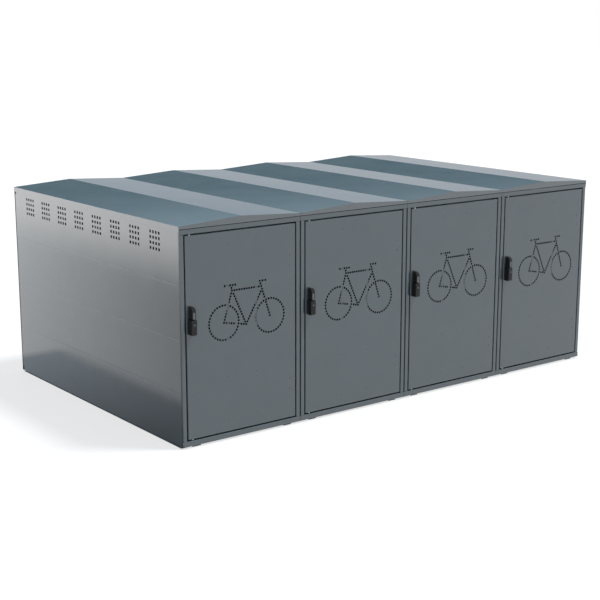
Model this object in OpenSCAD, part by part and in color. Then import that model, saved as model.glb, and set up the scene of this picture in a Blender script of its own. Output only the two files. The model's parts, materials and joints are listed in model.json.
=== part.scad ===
// Row of four lockable bicycle lockers in folded, powder coated sheet steel.
// Millimetres, +Z up, the doors face -Y and the row runs along X.
// The origin is on the floor, in the middle of the row's bounding box.

/* [Row] */
// Width of one locker bay, between the centres of its joints
bay_w = 800; // [740:10:1000]
// Depth of the row, from the front frame's face to the rear wall's face
depth = 2000; // [1800:10:2200]
// Height of the eaves, from the floor to the underside of the roof caps
eave_h = 1208; // [1120:4:1400]
// Open joint between the rails and roof caps of neighbouring bays
bay_joint = 2; // [1:0.5:3]

/* [Sheet metal] */
// Thickness of the folded sheet
sheet_t = 2; // [1.5:0.25:2.5]
// Outer radius of a fold
fold_r = 3; // [2.5:0.25:4]

/* [Frame] */
// Face width of a stile
stile_face = 25; // [22:1:40]
// Distance of a stile's outer side from the middle of the bay joint
stile_inset = 4; // [3:0.5:6]
// Face height of the head rail
head_face = 27; // [22:1:40]
// Face height of the sill rail
sill_face = 31; // [24:1:45]
// Depth of the frame profiles, front to back
frame_depth = 40; // [38:1:55]
// Width of the door stop behind the door's edge
stop_w = 20; // [14:1:24]

/* [Roof] */
// Height of the roof cap's skirt at the eaves
skirt_h = 19; // [14:1:40]
// Rise of the ridge above the eaves
ridge_rise = 23; // [15:1:80]
// How far the end caps' outer skirts hang down over the end walls
skirt_lap = 9; // [5:1:20]
// Open joint between a cap's fascia and the rail below it
fascia_joint = 3; // [2:0.5:8]

/* [Walls] */
// Panels stacked in each end wall and rear wall
wall_panels = 4; // [3:1:5]
// Open seam between stacked wall panels
panel_seam = 0.75; // [0.5:0.25:4]
// Depth of a wall panel's folded edge
panel_return = 20; // [15:1:28]
// Distance of the end panels' front edge from the frame's face
wall_front = 31; // [24:1:36]
// Distance of the end walls' edge strip from the frame's face
strip_front = 10; // [6:1:16]
// Distance of the end walls' rear edge from the rear wall's face
wall_rear = 22; // [10:1:30]

/* [Vents] */
// Groups of vent openings along an end wall
vent_groups = 8; // [4:1:8]
// Distance between the middles of two groups
vent_group_pitch = 218; // [180:2:230]
// Rows and columns of openings in a group
vent_rows = 4; // [2:1:4]
// Distance between the middles of two openings
vent_pitch = 30; // [26:1:34]
// Side of one square opening
vent_side = 16; // [10:1:20]
// Distance of the top row's middle below the eaves
vent_drop = 42; // [36:1:60]
// Distance of the groups' common middle behind the row's middle
vent_back = 12; // [0:1:30]

/* [Door] */
// Open gap around the door
door_gap = 8; // [7:0.5:12]
// Depth of the door's folded edge
door_depth = 25; // [23:1:26]
// Distance of the stiffeners from the door's middle, to the left and to the right
stiffener_x = 95; // [70:1:120]
// Width of a stiffener's web
stiffener_w = 15; // [14:1:30]
// Depth of a stiffener
stiffener_d = 18; // [10:1:20]
// Distance of a stiffener's ends from the door's edges
stiffener_end = 16; // [8:1:60]

/* [Bicycle sign] */
// Diameter of one punched dot
dot_d = 13; // [6:0.5:14]
// Least width of the sheet left between two dots
dot_web = 1.2; // [0.8:0.1:3]
// Distance between the middles of two dots of a tube
dot_pitch = 16.8; // [15:0.05:20]
// Dots in a wheel
wheel_dots = 34; // [24:1:36]
// Radius of a wheel
wheel_r = 97; // [80:1:105]
// Distance between the wheel hubs
wheelbase = 308; // [280:1:320]
// Distance of the sign's middle to the right of the door's middle
sign_x = 32; // [0:1:40]
// Height of the hubs above the door's middle
hub_up = 60.5; // [0:0.5:80]

/* [Hinge] */
// Distance of the hinge axis from the door's hinged edge
hinge_in = 15; // [14:0.5:16]
// Distance of the hinge axis behind the door's face
hinge_back = 10; // [9.5:0.25:11]
// Radius of the hinge pin
pin_r = 4; // [3:0.25:4.5]
// Running clearance of the pin, on the radius
pin_clear = 0.05; // [0.02:0.01:0.1]
// Outer radius of a knuckle
knuckle_r = 7; // [6:0.25:7.25]
// Height of the middle knuckle, which the frame carries
mid_knuckle_h = 40; // [30:1:50]
// Height of each outer knuckle, which the door carries
end_knuckle_h = 20; // [14:1:30]
// Thickness of the hinge plates
hinge_t = 3; // [2:0.5:3]
// Width of the leaf that is fastened to the door
leaf_w = 36; // [28:1:50]
// Distance of each hinge's middle from the door's upper or lower edge
hinge_end = 205; // [120:1:300]

/* [Lock] */
// Distance of the lock's middle from the door's free edge
lock_in = 27; // [24:1:40]
// Height of the lever's spindle above the door's middle
spindle_up = 125; // [60:0.5:160]
// Width of the lock housing
housing_w = 32; // [28:1:36]
// Height of the lock housing below the lever
housing_h = 87; // [60:1:90]
// How far the lock stands out from the door
housing_reach = 40; // [34:1:50]
// Distance of the lock cylinder's middle below the housing's top
cylinder_drop = 27; // [14:1:45]
// How far the lock cylinder's face stands out from its housing
cylinder_proud = 1.5; // [0.5:0.25:3]
// Thickness of the escutcheon under the lever
escutcheon_t = 8; // [5:1:12]
// Width of the lever's grip
grip_w = 23; // [18:1:26]
// Length of the lever, from the spindle to the tip
lever_l = 57; // [50:1:80]
// Clearance between the lever and the lock's fixed parts
lever_clear = 2; // [1:0.25:3]
// Radius of the lever's spindle
spindle_r = 5; // [4:0.25:6]
// Radius of the lock cylinder's face
cylinder_r = 8.5; // [7:0.5:10]
// Radius of the key plug's seat in the cylinder
plug_r = 6.5; // [4:0.5:6.5]
// Depth of the seats of the key plug and of the grip's inlay
seat_depth = 1.2; // [0.5:0.1:2]
// Width of the inlay in the grip's face
inlay_w = 14; // [10:0.5:15]
// Height of the inlay in the grip's face
inlay_h = 37; // [20:1:38]
// Radius of a locking rod
rod_r = 6.5; // [4:0.5:7]
// Distance of the rods to the right of the lever's spindle
rod_off = 6; // [0:0.5:8]
// How far a locking rod stands out of the door's edge
rod_reach = 6; // [3:0.5:6]
// Clearance of a rod in its hole, on the radius
rod_clear = 0.3; // [0.2:0.05:0.6]
// Width of the lock case behind the door's skin
case_w = 36; // [30:1:44]
// Depth of the lock case
case_d = 20; // [17:1:22]
// Height of the lock case
case_h = 110; // [80:1:140]

/* [Feet] */
// Width of a levelling foot
foot_w = 58; // [40:1:80]
// Depth of a levelling foot, front to back
foot_d = 24; // [18:1:30]
// Height of a levelling foot
foot_h = 10; // [8:1:40]
// Height of a foot's sole, which is narrower all round
sole_h = 5; // [3:0.5:8]
// Distance of the left feet's middles from their bay's left end
foot_left = 100; // [50:1:150]
// Distance of the right feet's middles from their bay's right end
foot_right = 82; // [50:1:150]

/* [Hidden] */
$fn = 48;

bays = 4;
row_w = bays * bay_w;
eps = 1;

// Colours of the finishes
coat = [0.39, 0.43, 0.46];
coat_dark = [0.22, 0.25, 0.28];
roof_blue = [0.40, 0.48, 0.53];
black = [0.05, 0.05, 0.06];
zinc = [0.62, 0.64, 0.66];

// Heights of the door opening
open_lo = foot_h + sill_face;
open_hi = eave_h - head_face;
// Sides of the door opening within a bay
open_in = stile_inset + stile_face;
// Door size, and its edges within a bay
door_in = open_in + door_gap;
door_w = bay_w - 2 * door_in;
door_lo = open_lo + door_gap;
door_hi = open_hi - door_gap;
door_h = door_hi - door_lo;
door_mid = bay_w / 2;
door_mid_z = (door_lo + door_hi) / 2;
// Hinge axis, within a bay
axis_x = bay_w - door_in - hinge_in;
axis_y = hinge_back;
knuckle_gap = 1;
hinge_h = mid_knuckle_h + 2 * (end_knuckle_h + knuckle_gap);
hinge_heights = [door_lo + hinge_end, door_hi - hinge_end];
// Room above and below a hinge bracket in the door's folded edge
notch_room = 5;
// Lock, within a bay
lock_x = door_in + lock_in;
spindle_z = door_mid_z + spindle_up;
rod_x = lock_x + rod_off;
rod_y = sheet_t + case_d / 2;
// The row's box runs from the lock housings' faces to the rear walls
mid_y = (depth - housing_reach) / 2;
// Front and rear edges of what stands between the frames
wall_back = depth - wall_rear;
// The end walls' outer face lies one sheet outside the stiles
wall_x = stile_inset - sheet_t;
panel_h = (eave_h - foot_h - (wall_panels - 1) * panel_seam) / wall_panels;
// Half of the space between two neighbouring bays' stiles
half_wall = stile_inset;
// Play of a panel in the frame
play = 2;
// Radius of a foot's corners
foot_corner = 4;

function bay_x(n) = (n - 1) * bay_w;
function panel_z(k) = foot_h + k * (panel_h + panel_seam);

// Points of the bicycle sign, across from the door's middle and up from the floor.
// They lie so many wheel radii from the hubs.
hub_z = door_mid_z + hub_up;
hub_rear = [sign_x - wheelbase / 2, hub_z];
hub_front = [sign_x + wheelbase / 2, hub_z];
crank = hub_rear + wheel_r * [1.515, -0.294];
seat_lug = hub_rear + wheel_r * [0.557, 1.778];
seat_tube_end = hub_rear + wheel_r * [0.668, 1.579];
head_lug = hub_front + wheel_r * [-0.598, 1.778];
down_lug = hub_front + wheel_r * [-0.639, 1.469];
saddle_tip = hub_rear + wheel_r * [0.794, 2.088];
saddle_end = hub_rear + wheel_r * [0.082, 2.088];
saddle_post = hub_rear + wheel_r * [0.531, 1.933];
bar_end = hub_front + wheel_r * [-0.701, 2.098];
bar_grip = hub_front + wheel_r * [-0.309, 2.098];

function dots_ring(c) =
    [for (i = [0:wheel_dots - 1]) let (turn = 360 * i / wheel_dots) c + wheel_r * [cos(turn), sin(turn)]];
function dots_line(a, b) =
    let (n = max(1, round(norm(b - a) / dot_pitch)))
    [for (i = [0:n]) a + (b - a) * i / n];
// Keeps each dot that stays clear of all the dots kept before it
function apart(dots, gap, i = 0, kept = []) =
    i >= len(dots) ? kept
    : min([for (k = kept) norm(k - dots[i]), 2 * gap]) < gap ? apart(dots, gap, i + 1, kept)
    : apart(dots, gap, i + 1, concat(kept, [dots[i]]));
sign_dots = apart(concat(
    dots_ring(hub_rear),
    dots_ring(hub_front),
    dots_line(crank, seat_tube_end),
    dots_line(crank, down_lug),
    dots_line(seat_lug, head_lug),
    dots_line(head_lug, hub_front),
    dots_line(seat_lug, hub_rear),
    dots_line(hub_rear, crank),
    dots_line(saddle_end, saddle_tip),
    dots_line(bar_end, bar_grip),
    [saddle_post, (head_lug + bar_end) / 2]
), dot_d + dot_web);

module placed() translate([-row_w / 2, -mid_y, 0]) children();
module in_bay(n) placed() translate([bay_x(n), 0, 0]) children();
module every_bay() for (n = [1:bays]) in_bay(n) children();
module both_sides() { children(); translate([bay_w, 0, 0]) mirror([1, 0, 0]) children(); }
// Turns the front frame's pieces into the rear frame's, one sheet inside the rear wall
module at_rear() translate([0, depth - sheet_t, 0]) mirror([0, 1, 0]) children();

// Rectangle with round corners, from the first corner to the size given
module round_rect(size, r) {
    translate([r, 0]) square([size[0] - 2 * r, size[1]]);
    translate([0, r]) square([size[0], size[1] - 2 * r]);
    for (x = [r, size[0] - r], y = [r, size[1] - r]) translate([x, y]) circle(r);
}
// Folded channel: its web lies on the x axis, and its flanges rise to the depth given
module channel(width, rise) difference() {
    round_rect([width, rise + 2 * fold_r], fold_r);
    translate([sheet_t, sheet_t])
        round_rect([width - 2 * sheet_t, rise + 2 * fold_r], fold_r - sheet_t);
    translate([-eps, rise]) square([width + 2 * eps, 3 * fold_r]);
}
// Prism along X from a profile drawn in Y and Z
module along_x(length) rotate([90, 0, 90]) linear_extrude(length) children();
// Prism along Y from a profile drawn in X and Z
module along_y(length) translate([0, length, 0]) rotate([90, 0, 0]) linear_extrude(length) children();

// Stile of the left side of a bay, with the door stop on its inner edge
module stile(stop) translate([0, 0, open_lo]) linear_extrude(open_hi - open_lo) {
    translate([stile_inset, 0]) channel(stile_face, frame_depth);
    if (stop > 0)
        translate([open_in - sheet_t, frame_depth - sheet_t]) square([stop + sheet_t, sheet_t]);
}
// Rail across a bay: a folded channel open to the back
module rail(z, face) translate([bay_joint / 2, 0, z]) along_x(bay_w - bay_joint)
    translate([0, face]) rotate(-90) channel(face, frame_depth);
module head_rail(stop) {
    rail(open_hi, head_face);
    if (stop > 0)
        translate([open_in + stop, frame_depth - sheet_t, open_hi - stop])
            cube([bay_w - 2 * (open_in + stop), sheet_t, stop + sheet_t]);
}

module front_stiles() color(coat) every_bay() both_sides() stile(stop_w);
// Room that the end walls and the end caps' skirts take from the rails at the row's ends
module row_end() placed() {
    translate([-eps, -eps, 0]) cube([wall_x + eps, depth + 2 * eps, 2 * eave_h]);
    translate([-eps, strip_front, 0]) cube([stile_inset + eps, wall_back - strip_front, 2 * eave_h]);
}
module at_right_end() mirror([1, 0, 0]) children();
module row_ends() {
    row_end();
    at_right_end() row_end();
}
module front_rails() color(coat) difference() {
    every_bay() {
        head_rail(stop_w);
        rail(foot_h, sill_face);
    }
    row_ends();
}
module rear_stiles() color(coat_dark) every_bay() at_rear() both_sides() stile(0);
module rear_rails() color(coat_dark) difference() {
    every_bay() at_rear() {
        head_rail(0);
        rail(foot_h, sill_face);
    }
    row_ends();
}

// Gable cap with its skirt: how much smaller the outline is inside, and its left and right edges
module gable(inset, left, right) polygon([
    [left + inset, eave_h - inset], [left + inset, eave_h + skirt_h - inset],
    [bay_w / 2, eave_h + skirt_h + ridge_rise - inset],
    [right - inset, eave_h + skirt_h - inset], [right - inset, eave_h - inset],
]);
module roof_cap(n) color(roof_blue) in_bay(n) {
    left = n == 1 ? 0 : bay_joint / 2;
    right = bay_w - (n == bays ? 0 : bay_joint / 2);
    difference() {
        along_y(depth) gable(0, left, right);
        translate([0, sheet_t, 0]) along_y(depth - 2 * sheet_t) gable(sheet_t, left, right);
        translate([left + sheet_t, -eps, eave_h - eps])
            cube([right - left - 2 * sheet_t, depth + 2 * eps, fascia_joint + eps]);
    }
    if (n == 1) skirt_flap(0);
    if (n == bays) skirt_flap(bay_w - sheet_t);
}
// Lower part of an end cap's outer skirt, over the end wall
module skirt_flap(x) translate([x, 0, eave_h - skirt_lap]) cube([sheet_t, depth, skirt_lap + skirt_h / 2]);
module roof_1() roof_cap(1);
module roof_2() roof_cap(2);
module roof_3() roof_cap(3);
module roof_4() roof_cap(4);

// One panel of the left end wall, with room for the stiles inside its folded edges
module end_panel(k) difference() {
    translate([wall_x, wall_front, panel_z(k)]) along_y(wall_back - wall_front)
        translate([0, panel_h]) rotate(-90) channel(panel_h, panel_return);
    for (y = [0, depth - sheet_t - frame_depth - play])
        translate([stile_inset, y - eps, foot_h - eps])
            cube([bay_w, frame_depth + play + eps + (y > 0 ? sheet_t : 0), eave_h]);
}
module vents() {
    first_y = depth / 2 + vent_back - ((vent_groups - 1) * vent_group_pitch
        + (vent_rows - 1) * vent_pitch) / 2;
    for (g = [0:vent_groups - 1], i = [0:vent_rows - 1], j = [0:vent_rows - 1]) {
        y = first_y + g * vent_group_pitch + i * vent_pitch;
        z = eave_h - vent_drop - j * vent_pitch;
        translate([wall_x - eps, y - vent_side / 2, z - vent_side / 2])
            cube([sheet_t + 2 * eps, vent_side, vent_side]);
    }
}
module vent_panel() difference() {
    end_panel(wall_panels - 1);
    vents();
}
// The plain panels, and the strip that covers the joint between the wall's front edge and the stile
module wall_stack() {
    for (k = [0:wall_panels - 2]) end_panel(k);
    translate([wall_x, strip_front, foot_h]) cube([sheet_t, wall_front - strip_front, eave_h - foot_h]);
}

module left_vent_panel() color(coat) in_bay(1) vent_panel();
module left_wall_panels() color(coat) in_bay(1) wall_stack();
module right_vent_panel() color(coat) at_right_end() in_bay(1) vent_panel();
module right_wall_panels() color(coat) at_right_end() in_bay(1) wall_stack();

// Rear wall of one bay: stacked plain panels on the back of the rear frame
module rear_wall(n) color(coat) in_bay(n) for (k = [0:wall_panels - 1])
    translate([wall_x, depth - sheet_t, panel_z(k)]) cube([bay_w - 2 * wall_x, sheet_t, panel_h]);
module rear_wall_1() rear_wall(1);
module rear_wall_2() rear_wall(2);
module rear_wall_3() rear_wall(3);
module rear_wall_4() rear_wall(4);

// Wall between two bays: a shallow pan that fits between their stiles
module partition(n) color(coat_dark) in_bay(n + 1) {
    low = foot_h + sill_face + play;
    high = open_hi - play;
    front = frame_depth + play;
    back = depth - sheet_t - frame_depth - play;
    difference() {
        union() {
            translate([-half_wall, front, foot_h]) cube([2 * half_wall, back - front, eave_h - foot_h]);
            translate([-half_wall, wall_front, low])
                cube([2 * half_wall, wall_back - wall_front, high - low]);
        }
        translate([sheet_t - half_wall, front + sheet_t, foot_h + sheet_t])
            cube([2 * half_wall, back - front - 2 * sheet_t, eave_h - foot_h - 2 * sheet_t]);
    }
}
module partition_1() partition(1);
module partition_2() partition(2);
module partition_3() partition(3);

// Feet under the rails, near the ends of each, set back from the frame's face
module foot_slab(inset, low, high) translate([inset, inset, low])
    linear_extrude(high - low) round_rect([foot_w - 2 * inset, foot_d - 2 * inset], foot_corner);
module levelling_feet() color(black) every_bay()
    for (x = [foot_left, bay_w - foot_right],
         y = [frame_depth - play - foot_d, depth - sheet_t - frame_depth + play])
        translate([x - foot_w / 2, y, 0]) {
            foot_slab(0, sole_h, foot_h);
            foot_slab(play, 0, sole_h + eps);
        }

// Frame half of a hinge: a cranked plate behind the door stop, its knuckle and its pin
module hinge_bracket(z) translate([axis_x, axis_y, z - mid_knuckle_h / 2]) {
    reach = frame_depth - axis_y;
    stop_edge = bay_w - open_in - axis_x;
    linear_extrude(mid_knuckle_h) {
        circle(knuckle_r);
        translate([-knuckle_r, 0]) square([hinge_t, reach + hinge_t]);
        translate([-knuckle_r, reach]) square([knuckle_r + stop_edge - play, hinge_t]);
    }
    translate([0, 0, -knuckle_gap - end_knuckle_h])
        cylinder(h = hinge_h, r = pin_r);
}
module hinge_brackets() color(zinc) every_bay() for (z = hinge_heights) hinge_bracket(z);

// Folded block with round front edges: the door's outer or inner form
module pan_block(inset, r, back) intersection() {
    translate([door_in + inset, inset, door_lo]) linear_extrude(door_h)
        round_rect([door_w - 2 * inset, back + 2 * r], r);
    translate([door_in, inset, door_lo + inset]) along_x(door_w)
        round_rect([back + 2 * r, door_h - 2 * inset], r);
    translate([door_in, 0, door_lo]) cube([door_w, back, door_h]);
}
module door_panel(n) color(coat) in_bay(n) difference() {
    pan_block(0, fold_r, door_depth);
    pan_block(sheet_t, fold_r - sheet_t, door_depth + eps);
    for (d = sign_dots) translate([door_mid + d[0], -eps, d[1]]) rotate([-90, 0, 0])
        cylinder(h = sheet_t + 2 * eps, r = dot_d / 2);
    for (z = hinge_heights) translate([axis_x, sheet_t, z - mid_knuckle_h / 2 - notch_room])
        cube([bay_w, door_depth, mid_knuckle_h + 2 * notch_room]);
    translate([lock_x, -eps, spindle_z]) rotate([-90, 0, 0])
        cylinder(h = sheet_t + 2 * eps, r = spindle_r + lever_clear);
    translate([rod_x, rod_y, door_lo - eps]) cylinder(h = door_h + 2 * eps, r = rod_r + rod_clear);
}
// Two channels on the back of the skin
module door_stiffeners(n) color(coat) in_bay(n) for (side = [-1, 1])
    translate([door_mid + side * stiffener_x - stiffener_w / 2, sheet_t, door_lo + stiffener_end])
        linear_extrude(door_h - 2 * stiffener_end) channel(stiffener_w, stiffener_d);
// Door half of each hinge: a leaf on the back of the skin with two knuckles
module door_hinges(n) color(zinc) in_bay(n) for (z = hinge_heights) difference() {
    union() {
        translate([axis_x - knuckle_r - play - leaf_w, sheet_t, z - hinge_h / 2])
            cube([leaf_w, hinge_t, hinge_h]);
        for (low = [z - hinge_h / 2, z + hinge_h / 2 - end_knuckle_h]) {
            translate([axis_x, axis_y, low]) cylinder(h = end_knuckle_h, r = knuckle_r);
            translate([axis_x - knuckle_r - play - eps, sheet_t, low])
                cube([knuckle_r + play + eps, hinge_t, end_knuckle_h]);
        }
    }
    translate([axis_x, axis_y, z - hinge_h]) cylinder(h = 2 * hinge_h, r = pin_r + pin_clear);
}
// Lock case behind the skin, with a rod to the top and one to the bottom of the door
module door_rods(n) color(zinc) in_bay(n) {
    translate([lock_x - case_w / 2, sheet_t, spindle_z - case_h / 2]) cube([case_w, case_d, case_h]);
    translate([rod_x, rod_y, door_lo - rod_reach])
        cylinder(h = door_h + 2 * rod_reach, r = rod_r);
}

housing_top = spindle_z - grip_w / 2 - lever_clear;
housing_lo = housing_top - housing_h;
housing_face = housing_reach - cylinder_proud;
lever_tip = spindle_z + lever_l;
cylinder_z = housing_top - cylinder_drop;
// Radii of the moulded corners seen from the front: at the free ends, and where the housing meets the lever
corner_r = 9;
joint_r = 3;
// Radii of the rounded front seen from the side: at the housing's lower end, and at the lever's tip
nose_r = 12;
tip_r = 28;
// Rectangle from the origin, with one radius at its lower corners and one at its upper corners
module tab(size, low_r, high_r) {
    translate([low_r, 0]) square([size[0] - 2 * low_r, size[1] / 2]);
    translate([0, low_r]) square([size[0], size[1] - low_r - high_r]);
    translate([high_r, size[1] / 2]) square([size[0] - 2 * high_r, size[1] / 2]);
    for (x = [low_r, size[0] - low_r]) translate([x, low_r]) circle(low_r);
    for (x = [high_r, size[0] - high_r]) translate([x, size[1] - high_r]) circle(high_r);
}
// Moulded block that stands out from the door. The corners are the radii of its outline seen from
// the front, the noses those of its front seen from the side, each with the lower end first.
module moulding(width, low, high, back, corners, noses) intersection() {
    translate([lock_x - width / 2, -housing_face, low]) along_y(housing_face - back)
        tab([width, high - low], corners[0], corners[1]);
    translate([lock_x - width / 2, -housing_face, low]) along_x(width)
        tab([2 * housing_face, high - low], noses[0], noses[1]);
}
// Fixed part of the lock: the cylinder's housing, and an escutcheon under the lever above it
module door_lock(n) color(black) in_bay(n) difference() {
    union() {
        moulding(housing_w, housing_lo, housing_top, 0, [corner_r, joint_r], [nose_r, joint_r]);
        translate([lock_x - grip_w / 2, -escutcheon_t, housing_top - eps]) along_y(escutcheon_t)
            tab([grip_w, lever_tip - housing_top + eps], joint_r, corner_r);
        translate([lock_x, -housing_reach, cylinder_z]) rotate([-90, 0, 0])
            cylinder(h = housing_reach, r = cylinder_r);
    }
    translate([lock_x, -escutcheon_t - eps, spindle_z]) rotate([-90, 0, 0])
        cylinder(h = escutcheon_t + 2 * eps, r = spindle_r + pin_clear);
    translate([lock_x, -housing_reach - eps, cylinder_z]) rotate([-90, 0, 0])
        cylinder(h = seat_depth + eps, r = plug_r);
}
// Lever that turns on its spindle, over the escutcheon, with a seat for an inlay in its face
module door_lever(n) color(black) in_bay(n) difference() {
    back = escutcheon_t + lever_clear;
    union() {
        moulding(grip_w, spindle_z - grip_w / 2, lever_tip, back, [corner_r, corner_r], [joint_r, tip_r]);
        translate([lock_x, -back - eps, spindle_z]) rotate([-90, 0, 0])
            cylinder(h = back + eps + sheet_t / 2, r = spindle_r);
    }
    translate([lock_x - inlay_w / 2, -housing_face - eps, spindle_z - grip_w / 2 + joint_r])
        cube([inlay_w, seat_depth + eps, inlay_h]);
}

module door_1_panel() door_panel(1);
module door_2_panel() door_panel(2);
module door_3_panel() door_panel(3);
module door_4_panel() door_panel(4);
module door_1_stiffeners() door_stiffeners(1);
module door_2_stiffeners() door_stiffeners(2);
module door_3_stiffeners() door_stiffeners(3);
module door_4_stiffeners() door_stiffeners(4);
module door_1_hinges() door_hinges(1);
module door_2_hinges() door_hinges(2);
module door_3_hinges() door_hinges(3);
module door_4_hinges() door_hinges(4);
module door_1_rods() door_rods(1);
module door_2_rods() door_rods(2);
module door_3_rods() door_rods(3);
module door_4_rods() door_rods(4);
module door_1_lock() door_lock(1);
module door_2_lock() door_lock(2);
module door_3_lock() door_lock(3);
module door_4_lock() door_lock(4);
module door_1_lever() door_lever(1);
module door_2_lever() door_lever(2);
module door_3_lever() door_lever(3);
module door_4_lever() door_lever(4);

front_stiles();
front_rails();
rear_stiles();
rear_rails();
roof_1();
roof_2();
roof_3();
roof_4();
left_vent_panel();
left_wall_panels();
right_vent_panel();
right_wall_panels();
rear_wall_1();
rear_wall_2();
rear_wall_3();
rear_wall_4();
partition_1();
partition_2();
partition_3();
levelling_feet();
hinge_brackets();
door_1_panel();
door_1_stiffeners();
door_1_hinges();
door_1_rods();
door_1_lock();
door_1_lever();
door_2_panel();
door_2_stiffeners();
door_2_hinges();
door_2_rods();
door_2_lock();
door_2_lever();
door_3_panel();
door_3_stiffeners();
door_3_hinges();
door_3_rods();
door_3_lock();
door_3_lever();
door_4_panel();
door_4_stiffeners();
door_4_hinges();
door_4_rods();
door_4_lock();
door_4_lever();
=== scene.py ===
"""Looks of a row of four bicycle lockers in folded, powder coated sheet steel.

The solids of the row are loaded as they are and get their finishes here. The small pieces that the solids
leave out are modelled here in metres, in the same frame: bolt heads, nuts and screws, rivets, the
key plugs and keyways of the locks, the inlays of their grips, the dark seals beside the front frame, which
are also painted shade of the joint there, and the strips in the joints of the end walls.
"""
import json
import logging
import math
from dataclasses import dataclass, field
from enum import Enum

import bmesh
import bpy
from mathutils import Matrix, Vector


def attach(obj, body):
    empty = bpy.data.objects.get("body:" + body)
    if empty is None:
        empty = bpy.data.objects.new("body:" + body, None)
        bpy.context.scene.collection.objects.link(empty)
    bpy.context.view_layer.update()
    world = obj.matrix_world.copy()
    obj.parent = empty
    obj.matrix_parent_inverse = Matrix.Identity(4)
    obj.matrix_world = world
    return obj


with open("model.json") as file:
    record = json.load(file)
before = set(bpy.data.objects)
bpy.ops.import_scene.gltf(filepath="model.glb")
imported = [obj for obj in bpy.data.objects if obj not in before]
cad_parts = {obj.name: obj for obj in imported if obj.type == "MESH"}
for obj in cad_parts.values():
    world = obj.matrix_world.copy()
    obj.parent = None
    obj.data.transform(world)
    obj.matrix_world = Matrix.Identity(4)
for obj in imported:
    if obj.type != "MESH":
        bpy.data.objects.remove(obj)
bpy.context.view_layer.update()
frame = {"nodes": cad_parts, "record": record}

log = logging.getLogger("locker_row")

Colour = tuple[float, float, float]
Place = tuple[float, float, float]
Span = tuple[float, float]
Tones = tuple[tuple[float, Colour], ...]

MM = 0.001
# Points whose heights differ by less lie in one plane.
SAME_PLACE = 0.01 * MM
# Edges that turn more than this are shaded as sharp.
SHARP_ANGLE = math.radians(40.0)
# Form and steps of the roundings on fasteners' rims and on blocks' corners.
ROUND_PROFILE = 0.5
RIM_STEPS = 3
CORNER_STEPS = 4
# Cosine between the plain and the rounded normal, from a flat to an edge, and how finely it is sampled.
EDGE_TURN: Span = (0.98, 0.8)
EDGE_SAMPLES = 4
# Nearly all values of a noise pattern lie in this span.
NOISE_SPREAD: Span = (0.3, 0.7)
UNIT: Span = (0.0, 1.0)
UNIT_DOWN: Span = (1.0, 0.0)


class Axis(Enum):
    """The frame's axes, as their numbers in a vector."""

    X = 0
    Y = 1
    Z = 2


class Head(Enum):
    """Forms of a fastener's head: how many sides it has, and how much of its height is rounded."""

    BUTTON = (20, 0.85)
    HEXAGON = (6, 0.25)


class RowEnd(Enum):
    """The two ends of the row, as the side of the middle on which each lies."""

    LEFT = -1
    RIGHT = 1


class Ray(Enum):
    """Outputs of the Light Path node for what looks at a surface."""

    CAMERA = "Is Camera Ray"
    GLOSSY = "Is Glossy Ray"
    TRANSMISSION = "Is Transmission Ray"


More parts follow.
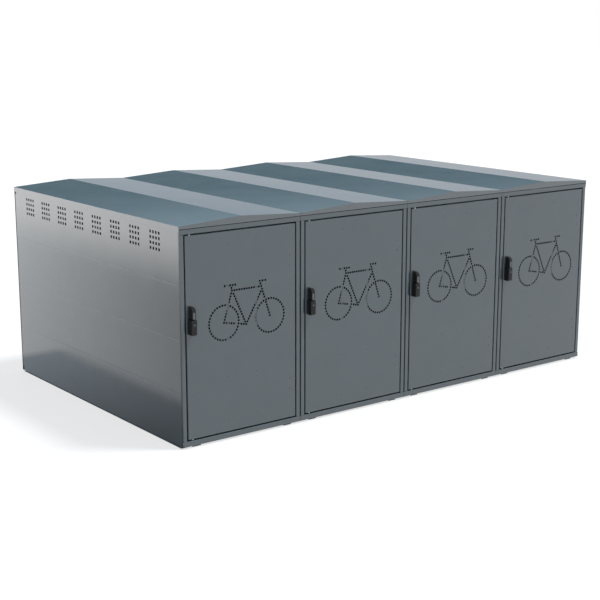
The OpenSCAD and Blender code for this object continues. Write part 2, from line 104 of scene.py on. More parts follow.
@dataclass
class NodeSheet:
    """A node tree that is being drawn, and the material that it belongs to."""

    tree: bpy.types.NodeTree
    material: bpy.types.Material | None = None

    @classmethod
    def for_material(cls, name: str) -> "NodeSheet":
        """Starts the node tree of a new material.

        Args:
            name: the material's name.

        Returns:
            The sheet, whose tree belongs to that material and is empty.
        """
        material = bpy.data.materials.new(name)
        material.use_nodes = True
        material.node_tree.nodes.clear()
        return cls(material.node_tree, material)

    def add(self, kind: str, **values: object) -> bpy.types.Node:
        """Adds a node.

        Args:
            kind: the node's type, without its common prefix.
            **values: settings of the node, by name.

        Returns:
            The new node.
        """
        node = self.tree.nodes.new("ShaderNode" + kind)
        for key, value in values.items():
            setattr(node, key, value)
        return node

    def link(self, source: bpy.types.NodeSocket, target: bpy.types.NodeSocket) -> None:
        """Joins an output to an input.

        Args:
            source: the output.
            target: the input.
        """
        self.tree.links.new(source, target)

    def noise(self, scale: float, detail: float, stretch: Place = (1.0, 1.0, 1.0)) -> bpy.types.NodeSocket:
        """Adds a noise pattern that is fixed to the object.

        Args:
            scale: patches in a metre.
            detail: how many finer layers it has.
            stretch: factor on the pattern's frequency along each axis.

        Returns:
            The pattern's value, about 0.5 in the middle.
        """
        place = self.add("TexCoord")
        mapping = self.add("Mapping")
        mapping.inputs["Scale"].default_value = stretch
        pattern = self.add("TexNoise")
        pattern.inputs["Scale"].default_value = scale
        pattern.inputs["Detail"].default_value = detail
        self.link(place.outputs["Object"], mapping.inputs["Vector"])
        self.link(mapping.outputs["Vector"], pattern.inputs["Vector"])
        return pattern.outputs["Fac"]

    def ranged(self, value: bpy.types.NodeSocket, source: Span, target: Span) -> bpy.types.NodeSocket:
        """Maps a value from one range to another and clamps it.

        Args:
            value: the value to map.
            source: range that it comes from.
            target: range that it goes to.

        Returns:
            The mapped value.
        """
        node = self.add("MapRange")
        node.inputs["From Min"].default_value = source[0]
        node.inputs["From Max"].default_value = source[1]
        node.inputs["To Min"].default_value = target[0]
        node.inputs["To Max"].default_value = target[1]
        self.link(value, node.inputs["Value"])
        return node.outputs["Result"]

    def product(self, first: bpy.types.NodeSocket, second: bpy.types.NodeSocket) -> bpy.types.NodeSocket:
        """Multiplies two values.

        Args:
            first: one value.
            second: the other value.

        Returns:
            Their product.
        """
        node = self.add("Math", operation="MULTIPLY")
        self.link(first, node.inputs[0])
        self.link(second, node.inputs[1])
        return node.outputs[0]

    def blend(self, factor: bpy.types.NodeSocket, first: object, second: object) -> bpy.types.NodeSocket:
        """Blends two colours.

        Args:
            factor: share of the second colour.
            first: a colour, or the socket that gives it.
            second: a colour, or the socket that gives it.

        Returns:
            The blended colour.
        """
        node = self.add("Mix", data_type="RGBA")
        self.link(factor, node.inputs["Factor"])
        for name, value in (("A", first), ("B", second)):
            socket = next(s for s in node.inputs if s.name == name and s.type == "RGBA")
            if isinstance(value, bpy.types.NodeSocket):
                self.link(value, socket)
            else:
                socket.default_value = (*value, 1.0)
        return next(s for s in node.outputs if s.type == "RGBA")

    def rounded_edges(self, radius: float) -> tuple[bpy.types.NodeSocket, bpy.types.NodeSocket]:
        """Rounds the edges in the shading.

        Args:
            radius: radius of an edge, in metres.

        Returns:
            The rounded normal, and a mask that is 1 on the edges and 0 on the flats.
        """
        bevel = self.add("Bevel", samples=EDGE_SAMPLES)
        bevel.inputs["Radius"].default_value = radius
        plain = self.add("NewGeometry")
        turned = self.add("VectorMath", operation="DOT_PRODUCT")
        self.link(bevel.outputs["Normal"], turned.inputs[0])
        self.link(plain.outputs["Normal"], turned.inputs[1])
        return bevel.outputs["Normal"], self.ranged(turned.outputs["Value"], EDGE_TURN, UNIT)

    def bump(self, height: bpy.types.NodeSocket, depth: float, strength: float,
             normal: bpy.types.NodeSocket) -> bpy.types.NodeSocket:
        """Adds a bump to a normal.

        Args:
            height: the pattern that gives the height.
            depth: height of the bump, in metres.
            strength: share of the bump that shows.
            normal: the normal below it.

        Returns:
            The bumped normal.
        """
        node = self.add("Bump")
        node.inputs["Strength"].default_value = strength
        node.inputs["Distance"].default_value = depth
        self.link(height, node.inputs["Height"])
        self.link(normal, node.inputs["Normal"])
        return node.outputs["Normal"]

    def ramp(self, value: bpy.types.NodeSocket, tones: Tones) -> bpy.types.NodeSocket:
        """Turns a value into a colour.

        Args:
            value: the value.
            tones: values in rising order, each with its colour.

        Returns:
            The colour.
        """
        low, high = tones[0][0], tones[-1][0]
        drawn = self.add("ValToRGB")
        stops = drawn.color_ramp.elements
        stops.remove(stops[0])
        for at, colour in tones:
            where = (at - low) / (high - low)
            stop = stops[-1] if where == 1.0 else stops.new(where)
            stop.color = (*colour, 1.0)
        self.link(self.ranged(value, (low, high), UNIT), drawn.inputs["Fac"])
        return drawn.outputs["Color"]

    def looked_at(self, *rays: Ray) -> bpy.types.NodeSocket:
        """Says whether one of the kinds of ray given looks at the surface.

        Args:
            *rays: the kinds of ray.

        Returns:
            1 for those rays and 0 for others.
        """
        path = self.add("LightPath")
        found = path.outputs[rays[0].value]
        for ray in rays[1:]:
            either = self.add("Math", operation="MAXIMUM")
            self.link(found, either.inputs[0])
            self.link(path.outputs[ray.value], either.inputs[1])
            found = either.outputs[0]
        return found

    def surface(self, **constants: object) -> bpy.types.Node:
        """Adds the main shader and the material's output.

        Args:
            **constants: values of the shader's sockets, by name with _ for a space.

        Returns:
            The shader node.
        """
        shader = self.add("BsdfPrincipled")
        for key, value in constants.items():
            shader.inputs[key.replace("_", " ")].default_value = value
        output = self.add("OutputMaterial")
        self.link(shader.outputs["BSDF"], output.inputs["Surface"])
        return shader


@dataclass(frozen=True)
class PowderCoat:
    """Satin powder coat on sheet steel: orange peel, faint mottling, edges that are rubbed lighter."""

    name: str
    colour: Colour
    dull: Colour
    rubbed: Colour
    roughness: Span = (0.10, 0.17)
    ior: float = 1.6
    lacquer: float = 1.0
    lacquer_roughness: float = 0.09
    lacquer_ior: float = 1.55
    edge_radius: float = 1.2 * MM
    peel_scale: float = 420.0
    peel_depth: float = 0.012 * MM
    peel_strength: float = 0.35
    mottle_scale: float = 5.0
    mottle_window: Span = (0.36, 0.66)
    grain_scale: float = 90.0
    rub_window: Span = (0.42, 0.62)
    rub_share: Span = (0.25, 0.8)

    def material(self) -> bpy.types.Material:
        """Draws the coat.

        Returns:
            The material.
        """
        sheet = NodeSheet.for_material(self.name)
        shader = sheet.surface(IOR=self.ior, Coat_Weight=self.lacquer, Coat_IOR=self.lacquer_ior,
                               Coat_Roughness=self.lacquer_roughness)
        mottle = sheet.noise(self.mottle_scale, detail=5.0)
        grain = sheet.noise(self.grain_scale, detail=3.0)
        peel = sheet.noise(self.peel_scale, detail=2.0)
        normal, edge = sheet.rounded_edges(self.edge_radius)
        patches = sheet.ranged(mottle, self.mottle_window, UNIT)
        ground = sheet.blend(patches, self.colour, self.dull)
        rub = sheet.product(edge, sheet.ranged(grain, self.rub_window, self.rub_share))
        peeled = sheet.bump(peel, self.peel_depth, self.peel_strength, normal)
        sheet.link(sheet.blend(rub, ground, self.rubbed), shader.inputs["Base Color"])
        sheet.link(sheet.ranged(mottle, NOISE_SPREAD, self.roughness), shader.inputs["Roughness"])
        sheet.link(peeled, shader.inputs["Normal"])
        return sheet.material


@dataclass(frozen=True)
class ZincPlate:
    """Zinc plating: bright metal with a faint spangle and fine draw lines along the part."""

    name: str
    bright: Colour
    dull: Colour
    roughness: Span = (0.28, 0.46)
    edge_radius: float = 0.5 * MM
    cloud_scale: float = 140.0
    cloud_window: Span = (0.38, 0.64)
    line_scale: float = 700.0
    line_stretch: Place = (1.0, 1.0, 0.04)
    line_depth: float = 0.04 * MM
    line_strength: float = 0.4

    def material(self) -> bpy.types.Material:
        """Draws the plating.

        Returns:
            The material.
        """
        sheet = NodeSheet.for_material(self.name)
        shader = sheet.surface(Metallic=1.0)
        cloud = sheet.noise(self.cloud_scale, detail=4.0)
        lines = sheet.noise(self.line_scale, detail=2.0, stretch=self.line_stretch)
        normal, edge = sheet.rounded_edges(self.edge_radius)
        tone = sheet.blend(sheet.ranged(cloud, self.cloud_window, UNIT), self.bright, self.dull)
        lined = sheet.bump(lines, self.line_depth, self.line_strength, normal)
        sheet.link(sheet.blend(edge, tone, self.bright), shader.inputs["Base Color"])
        sheet.link(sheet.ranged(cloud, NOISE_SPREAD, self.roughness), shader.inputs["Roughness"])
        sheet.link(lined, shader.inputs["Normal"])
        return sheet.material


@dataclass(frozen=True)
class MouldedBlack:
    """Black moulded plastic or rubber: spark-eroded grain, edges polished or dusted by use."""

    name: str
    colour: Colour
    edge_colour: Colour
    roughness: Span
    grain_scale: float
    grain_depth: float
    edge_radius: float
    grain_strength: float = 0.5
    cloud_scale: float = 60.0
    wear_window: Span = (0.35, 0.65)
    wear_share: Span = (0.3, 1.0)
    ior: float = 1.36

    def material(self) -> bpy.types.Material:
        """Draws the moulding.

        Returns:
            The material.
        """
        sheet = NodeSheet.for_material(self.name)
        shader = sheet.surface(IOR=self.ior)
        grain = sheet.noise(self.grain_scale, detail=3.0)
        cloud = sheet.noise(self.cloud_scale, detail=4.0)
        normal, edge = sheet.rounded_edges(self.edge_radius)
        worn = sheet.product(edge, sheet.ranged(cloud, self.wear_window, self.wear_share))
        grained = sheet.bump(grain, self.grain_depth, self.grain_strength, normal)
        sheet.link(sheet.blend(worn, self.colour, self.edge_colour), shader.inputs["Base Color"])
        sheet.link(sheet.ranged(cloud, NOISE_SPREAD, self.roughness), shader.inputs["Roughness"])
        sheet.link(grained, shader.inputs["Normal"])
        return sheet.material


Finish = PowderCoat | ZincPlate | MouldedBlack


@dataclass
class FinishRack:
    """The finishes of the row, each under the record's name for its slot."""

    finishes: dict[str, Finish]
    made: dict[str, bpy.types.Material] = field(default_factory=dict)

    def material(self, slot: str) -> bpy.types.Material:
        """Gives a slot's material, and draws it when it is first asked for.

        Args:
            slot: the record's name for the slot.

        Returns:
            The material.
        """
        if slot not in self.made:
            self.made[slot] = self.finishes[slot].material()
        return self.made[slot]

    def dress(self, thing: bpy.types.Object, slot: str) -> None:
        """Puts a finish on an object in place of what it has.

        Args:
            thing: the object.
            slot: the record's name for the finish's slot.
        """
        thing.data.materials.clear()
        thing.data.materials.append(self.material(slot))

    def dress_solids(self) -> None:
        """Puts on each solid of the row the finish that the record gives it."""
        for part in frame["record"]["subparts"]:
            self.dress(frame["nodes"][part["node"]], part["material_slot"])
            log.info("finish %s on %s", part["material_slot"], part["node"])

    def hand_over(self, shape: bmesh.types.BMesh, name: str, body: str, slot: str) -> None:
        """Turns a finished shape into a piece of the object.

        Args:
            shape: the shape, in its place at rest. It is used up.
            name: the piece's name.
            body: the body that it moves with.
            slot: the record's slot that it takes its finish from.
        """
        bmesh.ops.recalc_face_normals(shape, faces=shape.faces)
        mesh = bpy.data.meshes.new(name)
        shape.to_mesh(mesh)
        shape.free()
        mesh.shade_smooth()
        mesh.set_sharp_from_angle(angle=SHARP_ANGLE)
        piece = bpy.data.objects.new(name, mesh)
        bpy.context.scene.collection.objects.link(piece)
        self.dress(piece, slot)
        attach(piece, body)
        log.info("piece %s on %s: %d faces", name, body, len(mesh.polygons))


@dataclass(frozen=True)
class Fastener:
    """A fastener as it shows on a surface: its head, or a nut with the end of its bolt."""

    head: Head
    radius: float
    height: float
    sunk: float = 0.1 * MM
    bolt_radius: float = 0.0
    bolt_height: float = 0.0
    bolt_sides: int = 12
    bolt_rounding: float = 0.2

    def add(self, shape: bmesh.types.BMesh, place: Vector, facing: Vector) -> None:
        """Adds the fastener to a shape.

        Args:
            shape: the shape that it joins.
            place: the point of the surface under its middle.
            facing: the direction in which the surface faces.
        """
        sides, rounded = self.head.value
        self._drum(shape, place, facing, sides, self.radius, self.height, rounded * self.height)
        if self.bolt_radius > 0.0:
            self._drum(shape, place, facing, self.bolt_sides, self.bolt_radius,
                       self.height + self.bolt_height, self.bolt_rounding * self.bolt_radius)

    def _drum(self, shape: bmesh.types.BMesh, place: Vector, facing: Vector, sides: int,
              radius: float, height: float, rounding: float) -> None:
        """Adds a short drum with a rounded outer rim.

        Args:
            shape: the shape that it joins.
            place: the point of the surface under its middle.
            facing: the direction in which the surface faces.
            sides: how many sides it has.
            radius: its radius.
            height: how far it stands out of the surface.
            rounding: radius of its outer rim.
        """
        depth = height + self.sunk
        turn = facing.to_track_quat("Z", "Y").to_matrix().to_4x4()
        middle = Matrix.Translation(place + facing * (height - depth / 2)) @ turn
        made = bmesh.ops.create_cone(shape, cap_ends=True, segments=sides, radius1=radius,
                                     radius2=radius, depth=depth, matrix=middle)
        top = (place - facing * self.sunk).dot(facing) + depth
        rim = [edge for edge in {e for v in made["verts"] for e in v.link_edges}
               if all(abs(v.co.dot(facing) - top) < SAME_PLACE for v in edge.verts)]
        bmesh.ops.bevel(shape, geom=rim, offset=rounding, offset_type="OFFSET", affect="EDGES",
                        segments=RIM_STEPS, profile=ROUND_PROFILE, material=-1, clamp_overlap=True)


@dataclass(frozen=True)
class RowPlan:
    """Places of the row that its small pieces need, in metres from a bay's left end and front face."""

    bays: int = 4
    bay_width: float = 800 * MM
    depth: float = 2000 * MM
    lock_reach: float = 40 * MM
    eaves: float = 1208 * MM
    under: float = 10 * MM
    panels: int = 4
    panel_height: float = 298.94 * MM
    panel_gap: float = 0.75 * MM
    hinges: Span = (254 * MM, 968 * MM)

    def at(self, bay: int, x: float, y: float, z: float) -> Vector:
        """Gives the place of a point of a bay in the frame of the whole row.

        Args:
            bay: the bay's number, from 1 at the left.
            x: distance from the bay's left end.
            y: distance behind the frame's face.
            z: height above the floor.

        Returns:
            The point.
        """
        left = (bay - 1 - self.bays / 2) * self.bay_width
        return Vector((left + x, y - (self.depth - self.lock_reach) / 2, z))

    def panel_foot(self, panel: int) -> float:
        """Gives the height at which a panel of the stacked walls starts.

        Args:
            panel: the panel's number, from 0 at the bottom.

        Returns:
            The height above the floor.
        """
        return self.under + panel * (self.panel_height + self.panel_gap)


FRONT = Vector((0.0, -1.0, 0.0))
BACK = Vector((0.0, 1.0, 0.0))


def add_block(shape: bmesh.types.BMesh, low: Vector, high: Vector, axis: Axis, rounding: float) -> None:
    """Adds a block whose edges along one axis are rounded.

    Args:
        shape: the shape that it joins.
        low: one corner.
        high: the opposite corner.
        axis: the axis that the rounded edges run along.
        rounding: their radius.
    """
    box = Matrix.Translation((low + high) / 2) @ Matrix.Diagonal((*map(abs, high - low), 1.0))
    made = bmesh.ops.create_cube(shape, size=1.0, matrix=box)
    edges = {edge for vert in made["verts"] for edge in vert.link_edges}
    run = abs((high - low)[axis.value])
    along = [e for e in edges if abs((e.verts[0].co - e.verts[1].co)[axis.value]) > run / 2]
    bmesh.ops.bevel(shape, geom=along, offset=rounding, offset_type="OFFSET", affect="EDGES",
                    segments=CORNER_STEPS, profile=ROUND_PROFILE, material=-1)


@dataclass
class DoorFasteners:
    """The bolts of one door: through its skin into the stiffeners and hinge leaves, and on its lock case."""

    plan: RowPlan
    bay: int
    stiffeners: Span = (305 * MM, 495 * MM)
    stiffener_bolts: tuple[float, ...] = (117 * MM, 363 * MM, 1107 * MM)
    hinge_bolts: float = 725 * MM
    hinge_spread: float = 29 * MM
    leaf_back: float = 5 * MM
    case_left: float = 46 * MM
    case_right: float = 82 * MM
    case_back: float = 22 * MM
    case_middle: float = 736 * MM
    case_spread: float = 47 * MM
    case_screw_in: float = 7 * MM
    flush_head: Fastener = Fastener(Head.BUTTON, 4.2 * MM, 0.9 * MM)
    coach_head: Fastener = Fastener(Head.BUTTON, 5.0 * MM, 1.3 * MM)
    nut: Fastener = Fastener(Head.HEXAGON, 5.6 * MM, 4.5 * MM,
                             bolt_radius=3.0 * MM, bolt_height=2.0 * MM)
    screw: Fastener = Fastener(Head.BUTTON, 3.4 * MM, 1.8 * MM)

    def build(self, rack: FinishRack) -> None:
        """Builds the painted heads on the face, and the plated nuts and screws behind it.

        Args:
            rack: the finishes.
        """
        face = bmesh.new()
        behind = bmesh.new()
        for x in self.stiffeners:
            for z in self.stiffener_bolts:
                self.flush_head.add(face, self.plan.at(self.bay, x, 0.0, z), FRONT)
        for middle in self.plan.hinges:
            for z in (middle - self.hinge_spread, middle + self.hinge_spread):
                self.coach_head.add(face, self.plan.at(self.bay, self.hinge_bolts, 0.0, z), FRONT)
                self.nut.add(behind, self.plan.at(self.bay, self.hinge_bolts, self.leaf_back, z), BACK)
        for x in (self.case_left + self.case_screw_in, self.case_right - self.case_screw_in):
            for z in (self.case_middle - self.case_spread, self.case_middle + self.case_spread):
                self.screw.add(behind, self.plan.at(self.bay, x, self.case_back, z), BACK)
        rack.hand_over(face, f"door_{self.bay}_bolt_heads", f"door_{self.bay}", "dark_coat")
        rack.hand_over(behind, f"door_{self.bay}_nuts", f"door_{self.bay}", "zinc")


@dataclass
class LockTrim:
    """The key plug in one door's lock, with its keyway, and the inlay in the grip of its lever."""

    plan: RowPlan
    bay: int
    across: float = 64 * MM
    plug_up: float = 695.5 * MM
    plug_seat: float = -38.8 * MM
    plug: Fastener = Fastener(Head.BUTTON, 6.3 * MM, 0.9 * MM)
    key_width: float = 2.2 * MM
    key_height: float = 7.5 * MM
    key_face: float = -39.78 * MM
    key_rounding: float = 0.9
    inlay_low: float = 727.8 * MM
    inlay_high: float = 764.2 * MM
    inlay_half: float = 6.8 * MM
    inlay_seat: float = -37.3 * MM
    inlay_face: float = -38.3 * MM
    inlay_rounding: float = 1.2 * MM

    def build(self, rack: FinishRack) -> None:
        """Builds the plug and its keyway on the door, and the inlay on the lever.

        Args:
            rack: the finishes.
        """
        plug = bmesh.new()
        self.plug.add(plug, self.plan.at(self.bay, self.across, self.plug_seat, self.plug_up), FRONT)
        rack.hand_over(plug, f"door_{self.bay}_key_plug", f"door_{self.bay}", "dark_coat")
        keyway = bmesh.new()
        half = self.key_width / 2
        low = self.plan.at(self.bay, self.across - half, self.key_face, self.plug_up - self.key_height / 2)
        high = self.plan.at(self.bay, self.across + half, self.plug_seat, self.plug_up + self.key_height / 2)
        add_block(keyway, low, high, Axis.Y, self.key_rounding * half)
        rack.hand_over(keyway, f"door_{self.bay}_keyway", f"door_{self.bay}", "black_plastic")
        inlay = bmesh.new()
        low = self.plan.at(self.bay, self.across - self.inlay_half, self.inlay_face, self.inlay_low)
        high = self.plan.at(self.bay, self.across + self.inlay_half, self.inlay_seat, self.inlay_high)
        add_block(inlay, low, high, Axis.Y, self.inlay_rounding)
        rack.hand_over(inlay, f"door_{self.bay}_grip_inlay", f"lever_{self.bay}", "dark_coat")


@dataclass
class HingeFixings:
    """The bolts that hold the hinge brackets to the back of the door stops."""

    plan: RowPlan
    across: float = 757 * MM
    back: float = 43 * MM
    spread: float = 12 * MM
    bolt: Fastener = Fastener(Head.HEXAGON, 5.6 * MM, 4.0 * MM,
                              bolt_radius=3.0 * MM, bolt_height=1.5 * MM)

    def build(self, rack: FinishRack) -> None:
        """Builds the bolts of all the bays as one piece.

        Args:
            rack: the finishes.
        """
        shape = bmesh.new()
        for bay in range(1, self.plan.bays + 1):
            for middle in self.plan.hinges:
                for z in (middle - self.spread, middle + self.spread):
                    self.bolt.add(shape, self.plan.at(bay, self.across, self.back, z), BACK)
        rack.hand_over(shape, "hinge_bracket_bolts", "housing", "zinc")


@dataclass
class EndWallTrim:
    """What one end wall carries: rivets of its roof skirt and panels, joint strips, and in front a dark seal
    that is also painted shade of the joint.
    """

    plan: RowPlan
    end: RowEnd
    wall_in: float = 2 * MM
    # The dark seal in the front joint: partly a seal, partly painted shade of that joint.
    shade_gasket_front: float = 4 * MM
    shade_gasket_back: float = 10 * MM
    shade_gasket_in: float = 4 * MM
    shade_gasket_recess: float = 2.3 * MM
    shade_gasket_rounding: float = 0.6 * MM
    skirt_lap: float = 9 * MM
    skirt_rivets: int = 5
    skirt_rivet_end: float = 203 * MM
    skirt_rivet_in: float = 0.95 * MM
    panel_rivet_in: float = 112 * MM
    panel_rivet_up: float = 8 * MM
    rivet: Fastener = Fastener(Head.BUTTON, 4.0 * MM, 1.0 * MM, sunk=1.0 * MM)
    joint_half: float = 1.35 * MM
    joint_recess: float = 0.8 * MM
    joint_depth: float = 1.6 * MM
    joint_front: float = 31.5 * MM
    joint_back: float = 1977.5 * MM
    joint_rounding: float = 0.2 * MM

    def _place(self, inward: float, y: float, z: float) -> Vector:
        """Gives a point of this end wall.

        Args:
            inward: distance from the row's end towards its middle.
            y: distance behind the frame's face.
            z: height above the floor.

        Returns:
            The point.
        """
        point = self.plan.at(1, inward, y, z)
        point.x *= -self.end.value
        return point

    def build(self, rack: FinishRack) -> None:
        """Builds the rivets, the seal with its painted shade and the joint strips of this end.

        Args:
            rack: the finishes.
        """
        side = self.end.name.lower()
        outward = Vector((float(self.end.value), 0.0, 0.0))
        rivets = bmesh.new()
        run = self.plan.depth - 2 * self.skirt_rivet_end
        for step in range(self.skirt_rivets):
            y = self.skirt_rivet_end + run * step / (self.skirt_rivets - 1)
            self.rivet.add(rivets, self._place(self.skirt_rivet_in, y, self.plan.eaves), outward)
        for panel in range(self.plan.panels):
            height = self.plan.panel_foot(panel) + self.panel_rivet_up
            for y in (self.panel_rivet_in, self.plan.depth - self.panel_rivet_in):
                self.rivet.add(rivets, self._place(self.wall_in, y, height), outward)
        rack.hand_over(rivets, f"{side}_wall_rivets", "housing", "dark_coat")
        # The frame seal is a dark strip that paints the joint's shade, as well as a seal.
        rack.hand_over(self._shade_gasket(), f"{side}_frame_shade_gasket", "housing", "dark_coat")
        rack.hand_over(self._joint_strips(), f"{side}_joint_strips", "housing", "dark_coat")

    def _shade_gasket(self) -> bmesh.types.BMesh:
        """Builds the seal in the joint between the frame and the wall's edge strip: a dark strip that is
        partly a seal and partly painted shade of that joint.

        Returns:
            The seal's shape.
        """
        shape = bmesh.new()
        low = self._place(self.shade_gasket_recess, self.shade_gasket_front, self.plan.under)
        high = self._place(self.shade_gasket_in, self.shade_gasket_back, self.plan.eaves - self.skirt_lap)
        add_block(shape, low, high, Axis.Z, self.shade_gasket_rounding)
        return shape

    def _joint_strips(self) -> bmesh.types.BMesh:
        """Builds the flat strips that close the joints between the stacked panels.

        Returns:
            The strips' shape.
        """
        shape = bmesh.new()
        for panel in range(1, self.plan.panels):
            middle = self.plan.panel_foot(panel) - self.plan.panel_gap / 2
            low = self._place(self.wall_in + self.joint_recess, self.joint_front, middle - self.joint_half)
            high = self._place(self.wall_in + self.joint_depth, self.joint_back, middle + self.joint_half)
            add_block(shape, low, high, Axis.Y, self.joint_rounding)
        return shape


@dataclass
class RearRivets:
    """The flush rivets that hold the rear walls to the rear stiles."""

    plan: RowPlan
    across: Span = (16 * MM, 784 * MM)
    rows: tuple[float, ...] = (0.12, 0.5, 0.88)
    rivet: Fastener = Fastener(Head.BUTTON, 4.0 * MM, 0.05 * MM, sunk=0.5 * MM)

    def build(self, rack: FinishRack) -> None:
        """Builds the rivets of all the bays as one piece.

        Args:
            rack: the finishes.
        """
        shape = bmesh.new()
        for bay in range(1, self.plan.bays + 1):
            for panel in range(self.plan.panels):
                for share in self.rows:
                    z = self.plan.panel_foot(panel) + share * self.plan.panel_height
                    for x in self.across:
                        self.rivet.add(shape, self.plan.at(bay, x, self.plan.depth, z), BACK)
        rack.hand_over(shape, "rear_wall_rivets", "housing", "dark_coat")


@dataclass(frozen=True)
class FloorCard:
    """A flat glowing card beside the row that only reflections see, as a photographer's flag or reflector
    is.
    Each such card is a painted reflection of the floor: dark where the row's shadow lies, pale beyond it.

    Attributes:
        name: the card's name.
        low: its corner at the front left.
        high: its corner at the back right.
        colour: its colour.
        tone: its strength at the frame's origin.
        slope: how much the strength grows in a metre along each axis.
        least: the strength that it never falls below.
        side_fade: width over which its left edge fades out.
        back_fade: width over which its back edge fades out.
    """

    name: str
    low: Place
    high: Place
    colour: Colour
    tone: float
    slope: Place
    least: float
    side_fade: float
    back_fade: float

    def material(self) -> bpy.types.Material:
        """Draws the card's tone, which changes evenly from place to place and fades out at two edges.

        Returns:
            The material.
        """
        sheet = NodeSheet.for_material(self.name)
        place = sheet.add("TexCoord").outputs["Object"]
        change = sheet.add("VectorMath", operation="DOT_PRODUCT")
        change.inputs[1].default_value = self.slope
        sheet.link(place, change.inputs[0])
        total = sheet.add("Math", operation="ADD")
        total.inputs[1].default_value = self.tone
        sheet.link(change.outputs["Value"], total.inputs[0])
        shown = sheet.add("Math", operation="MAXIMUM")
        shown.inputs[1].default_value = self.least
        sheet.link(total.outputs[0], shown.inputs[0])
        shine = sheet.add("Emission")
        shine.inputs["Color"].default_value = (*self.colour, 1.0)
        sheet.link(shown.outputs[0], shine.inputs["Strength"])
        parts = sheet.add("SeparateXYZ")
        sheet.link(place, parts.inputs["Vector"])
        left, back = self.low[0], self.high[1]
        side = sheet.ranged(parts.outputs["X"], (left, left + self.side_fade), UNIT)
        end = sheet.ranged(parts.outputs["Y"], (back - self.back_fade, back), UNIT_DOWN)
        either = sheet.add("MixShader")
        sheet.link(sheet.product(side, end), either.inputs["Fac"])
        sheet.link(sheet.add("BsdfTransparent").outputs["BSDF"], either.inputs[1])
        sheet.link(shine.outputs["Emission"], either.inputs[2])
        output = sheet.add("OutputMaterial")
        sheet.link(either.outputs["Shader"], output.inputs["Surface"])
        return sheet.material


@dataclass(frozen=True)
class BackCard:
    """A graded card that stands behind the row and that only reflections see, for the roofs to mirror.

    Attributes:
        name: the card's name.
        foot: the middle of its lower edge.
        turn: its turn about the upright axis, in degrees.
        half_width: half its width.
        top: its height.
        tones: heights on it in rising order, each with its colour.
    """

    name: str
    foot: Place
    turn: float
    half_width: float
    top: float
    tones: Tones

    def shape(self) -> bmesh.types.BMesh:
        """Builds the card on its lower edge.

        Returns:
            The card's shape.
        """
        shape = bmesh.new()
        bmesh.ops.create_grid(shape, x_segments=1, y_segments=1, size=1.0)
        bmesh.ops.scale(shape, vec=(self.half_width, self.top / 2, 1.0), verts=shape.verts)
        stand = Matrix.Rotation(math.radians(90.0), 4, "X")
        turn = Matrix.Rotation(math.radians(self.turn), 4, "Z")
        lift = Matrix.Translation(Vector(self.foot) + Vector((0.0, 0.0, self.top / 2)))
        bmesh.ops.transform(shape, matrix=lift @ turn @ stand, verts=shape.verts)
        return shape

    def material(self) -> bpy.types.Material:
        """Draws the card's tones, one above the other.

        Returns:
            The material.
        """
        sheet = NodeSheet.for_material(self.name)
        parts = sheet.add("SeparateXYZ")
        sheet.link(sheet.add("TexCoord").outputs["Object"], parts.inputs["Vector"])
        shine = sheet.add("Emission")
        sheet.link(sheet.ramp(parts.outputs["Z"], self.tones), shine.inputs["Color"])
        output = sheet.add("OutputMaterial")
        sheet.link(shine.outputs["Emission"], output.inputs["Surface"])
        return sheet.material


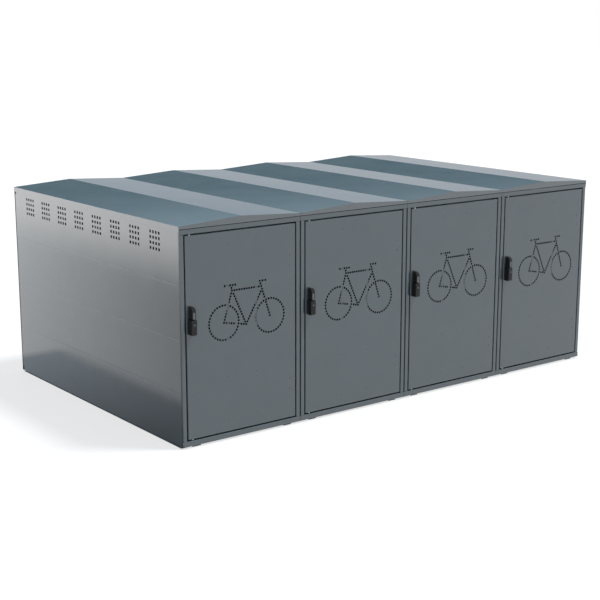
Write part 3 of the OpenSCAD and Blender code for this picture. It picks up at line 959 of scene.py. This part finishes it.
@dataclass
class Studio:
    """The set: a pale floor, a soft lamp at the front right, even light, cards to mirror and the camera."""

    eye: Place = (-5.0790, -6.6274, 2.3038)
    turn: Place = (77.466, 0.0, -37.13)
    lens: float = 76.76
    sensor: float = 36.0
    sight: float = 300.0
    floor_reach: float = 60.0
    floor_colour: Colour = (0.42, 0.42, 0.42)
    floor_glow: float = 0.64
    footprint: tuple[Place, Place] = ((-1.594, -0.953, 0.0003), (1.594, 1.012, 0.0003))
    cards: tuple[FloorCard, ...] = (
        # Painted reflection of the row's shadow on the floor beside the left end wall.
        FloorCard(name="shaded_strip", low=(-2.13, -1.10, 0.0004), high=(-1.56, 1.45, 0.0004),
                  colour=(0.88, 0.99, 1.08), tone=0.28, slope=(0.0, 0.19, 0.0), least=0.06,
                  side_fade=0.13, back_fade=0.15),
        # Painted reflections of the lit floor beyond that shadow.
        FloorCard(name="pale_side", low=(-5.00, -4.00, 0.0002), high=(-1.56, 9.00, 0.0002),
                  colour=(0.97, 1.00, 1.02), tone=1.25, slope=(0.301, 0.207, 0.0), least=0.55,
                  side_fade=1.20, back_fade=1.00),
        FloorCard(name="bright_far_side", low=(-12.00, -4.00, 0.0001), high=(-1.56, 18.00, 0.0001),
                  colour=(1.00, 1.00, 1.00), tone=1.90, slope=(0.0, 0.0, 0.0), least=0.0,
                  side_fade=2.00, back_fade=2.00),
    )
    back_card: BackCard = BackCard(
        name="graded_back", foot=(12.07, 15.95, 0.0), turn=-37.13, half_width=11.0, top=12.0,
        tones=((0.00, (0.55, 0.58, 0.60)),
               (2.23, (0.41, 0.45, 0.49)),
               (3.85, (0.26, 0.34, 0.40)),
               (4.58, (0.06, 0.12, 0.15)),
               (5.53, (0.09, 0.15, 0.19)),
               (6.17, (0.27, 0.39, 0.46)),
               (12.00, (0.42, 0.46, 0.50))))
    lamp_from: Place = (0.40, -0.30, 1.00)
    lamp_spread: float = 11.0
    lamp_strength: float = 1.95
    sky_strength: float = 1.5
    sky: Tones = ((0.0, (0.16, 0.20, 0.23)), (1.0, (0.37, 0.38, 0.40)))

    def set_camera(self) -> None:
        """Puts the camera where the photograph was taken from."""
        lens = bpy.data.cameras.new("camera")
        lens.lens = self.lens
        lens.sensor_width = self.sensor
        lens.sensor_fit = "HORIZONTAL"
        lens.clip_end = self.sight
        camera = bpy.data.objects.new("camera", lens)
        camera.location = self.eye
        camera.rotation_euler = [math.radians(angle) for angle in self.turn]
        bpy.context.scene.collection.objects.link(camera)
        bpy.context.scene.camera = camera

    def lay_floor(self) -> None:
        """Lays the pale floor, which keeps the row's shadow, and the plain floor under the row."""
        reach = Vector((self.floor_reach, self.floor_reach, 0.0))
        pale = self._floor_material("floor", self.floor_glow)
        self._floor_piece("floor", -reach, reach, pale)
        plain = self._floor_material("floor_under_row", 0.0)
        self._floor_piece("floor_under_row", *map(Vector, self.footprint), plain)

    def lay_cards(self) -> None:
        """Sets up the cards that the end wall and the roofs mirror, out of sight of all else."""
        pieces = [self._floor_piece(card.name, Vector(card.low), Vector(card.high), card.material())
                  for card in self.cards]
        back = self.back_card
        pieces.append(self._stage_piece(back.name, back.shape(), back.material()))
        for piece in pieces:
            piece.visible_camera = False
            piece.visible_diffuse = False
            piece.visible_transmission = False
            piece.visible_shadow = False

    def _floor_piece(self, name: str, low: Vector, high: Vector,
                     material: bpy.types.Material) -> bpy.types.Object:
        """Lays one flat piece of the floor.

        Args:
            name: the piece's name.
            low: its corner at the front left.
            high: its corner at the back right.
            material: what it is made of.

        Returns:
            The piece.
        """
        shape = bmesh.new()
        bmesh.ops.create_grid(shape, x_segments=1, y_segments=1, size=1.0)
        bmesh.ops.scale(shape, vec=(high - low) / 2, verts=shape.verts)
        bmesh.ops.translate(shape, vec=(low + high) / 2, verts=shape.verts)
        return self._stage_piece(name, shape, material)

    def _stage_piece(self, name: str, shape: bmesh.types.BMesh,
                     material: bpy.types.Material) -> bpy.types.Object:
        """Puts a shape into the scene as a piece of the set.

        Args:
            name: the piece's name.
            shape: its shape, which is used up.
            material: what it is made of.

        Returns:
            The piece.
        """
        mesh = bpy.data.meshes.new(name)
        shape.to_mesh(mesh)
        shape.free()
        mesh.materials.append(material)
        piece = bpy.data.objects.new(name, mesh)
        bpy.context.scene.collection.objects.link(piece)
        log.info("stage piece %s", name)
        return piece

    def _floor_material(self, name: str, glow: float) -> bpy.types.Material:
        """Draws the floor: matt, with a glow wherever it is seen, so that it shows as white.

        Args:
            name: the material's name.
            glow: strength of the glow.

        Returns:
            The material.
        """
        sheet = NodeSheet.for_material(name)
        matt = sheet.add("BsdfDiffuse")
        matt.inputs["Color"].default_value = (*self.floor_colour, 1.0)
        shine = sheet.add("Emission")
        shown = sheet.ranged(sheet.looked_at(*Ray), UNIT, (0.0, glow))
        sheet.link(shown, shine.inputs["Strength"])
        both = sheet.add("AddShader")
        sheet.link(matt.outputs["BSDF"], both.inputs[0])
        sheet.link(shine.outputs["Emission"], both.inputs[1])
        output = sheet.add("OutputMaterial")
        sheet.link(both.outputs["Shader"], output.inputs["Surface"])
        return sheet.material

    def light(self) -> None:
        """Hangs the lamp, and sets the even light and the white backdrop."""
        lamp_data = bpy.data.lights.new("soft_lamp", "SUN")
        lamp_data.angle = math.radians(self.lamp_spread)
        lamp_data.energy = self.lamp_strength
        lamp = bpy.data.objects.new("soft_lamp", lamp_data)
        lamp.visible_glossy = False
        lamp.rotation_euler = (-Vector(self.lamp_from)).to_track_quat("-Z", "Y").to_euler()
        bpy.context.scene.collection.objects.link(lamp)
        world = bpy.data.worlds.new("backdrop")
        world.use_nodes = True
        world.node_tree.nodes.clear()
        self._draw_backdrop(NodeSheet(world.node_tree))
        bpy.context.scene.world = world
        bpy.context.scene.view_settings.view_transform = "Standard"

    def _draw_backdrop(self, sheet: NodeSheet) -> None:
        """Draws the backdrop: white wherever it is seen, and for its light the sky's colours.

        Args:
            sheet: the world's node tree.
        """
        place = sheet.add("TexCoord")
        parts = sheet.add("SeparateXYZ")
        sheet.link(place.outputs["Generated"], parts.inputs["Vector"])
        even = sheet.add("Background")
        even.inputs["Strength"].default_value = self.sky_strength
        sheet.link(sheet.ramp(parts.outputs["Z"], self.sky), even.inputs["Color"])
        white = sheet.add("Background")
        white.inputs["Color"].default_value = (1.0, 1.0, 1.0, 1.0)
        either = sheet.add("MixShader")
        sheet.link(sheet.looked_at(*Ray), either.inputs["Fac"])
        sheet.link(even.outputs["Background"], either.inputs[1])
        sheet.link(white.outputs["Background"], either.inputs[2])
        output = sheet.add("OutputWorld")
        sheet.link(either.outputs["Shader"], output.inputs["Surface"])


FINISHES: dict[str, Finish] = {
    "wall_coat": PowderCoat(
        name="satin_wall", colour=(0.088, 0.105, 0.116), dull=(0.095, 0.112, 0.122),
        rubbed=(0.13, 0.15, 0.16), edge_radius=0.3 * MM),
    "door_coat": PowderCoat(
        name="satin_door", colour=(0.092, 0.121, 0.138), dull=(0.099, 0.128, 0.145),
        rubbed=(0.12, 0.14, 0.15), lacquer=0.4, edge_radius=0.5 * MM),
    "roof_coat": PowderCoat(
        name="satin_roof", colour=(0.094, 0.118, 0.134), dull=(0.101, 0.126, 0.142),
        rubbed=(0.15, 0.17, 0.19)),
    "dark_coat": PowderCoat(
        name="satin_dark", colour=(0.040, 0.048, 0.056), dull=(0.046, 0.054, 0.062),
        rubbed=(0.08, 0.09, 0.10)),
    "zinc": ZincPlate(
        name="plated_zinc", bright=(0.54, 0.55, 0.57), dull=(0.38, 0.39, 0.41)),
    "black_plastic": MouldedBlack(
        name="moulded_black", colour=(0.014, 0.014, 0.015), edge_colour=(0.03, 0.03, 0.032),
        roughness=(0.34, 0.44), grain_scale=1400.0, grain_depth=0.06 * MM, edge_radius=2.0 * MM),
    "foot_rubber": MouldedBlack(
        name="moulded_rubber", colour=(0.010, 0.010, 0.011), edge_colour=(0.035, 0.034, 0.032),
        roughness=(0.6, 0.78), grain_scale=700.0, grain_depth=0.1 * MM, edge_radius=1.0 * MM),
}


def main() -> None:
    """Builds the set, the finishes and the small pieces in order."""
    logging.basicConfig(level=logging.INFO, format="%(name)s: %(message)s")
    studio = Studio()
    studio.set_camera()
    studio.lay_floor()
    studio.lay_cards()
    studio.light()
    rack = FinishRack(FINISHES)
    rack.dress_solids()
    plan = RowPlan()
    for bay in range(1, plan.bays + 1):
        DoorFasteners(plan, bay).build(rack)
        LockTrim(plan, bay).build(rack)
    HingeFixings(plan).build(rack)
    for end in RowEnd:
        EndWallTrim(plan, end).build(rack)
    RearRivets(plan).build(rack)


if __name__ == "__main__":
    main()
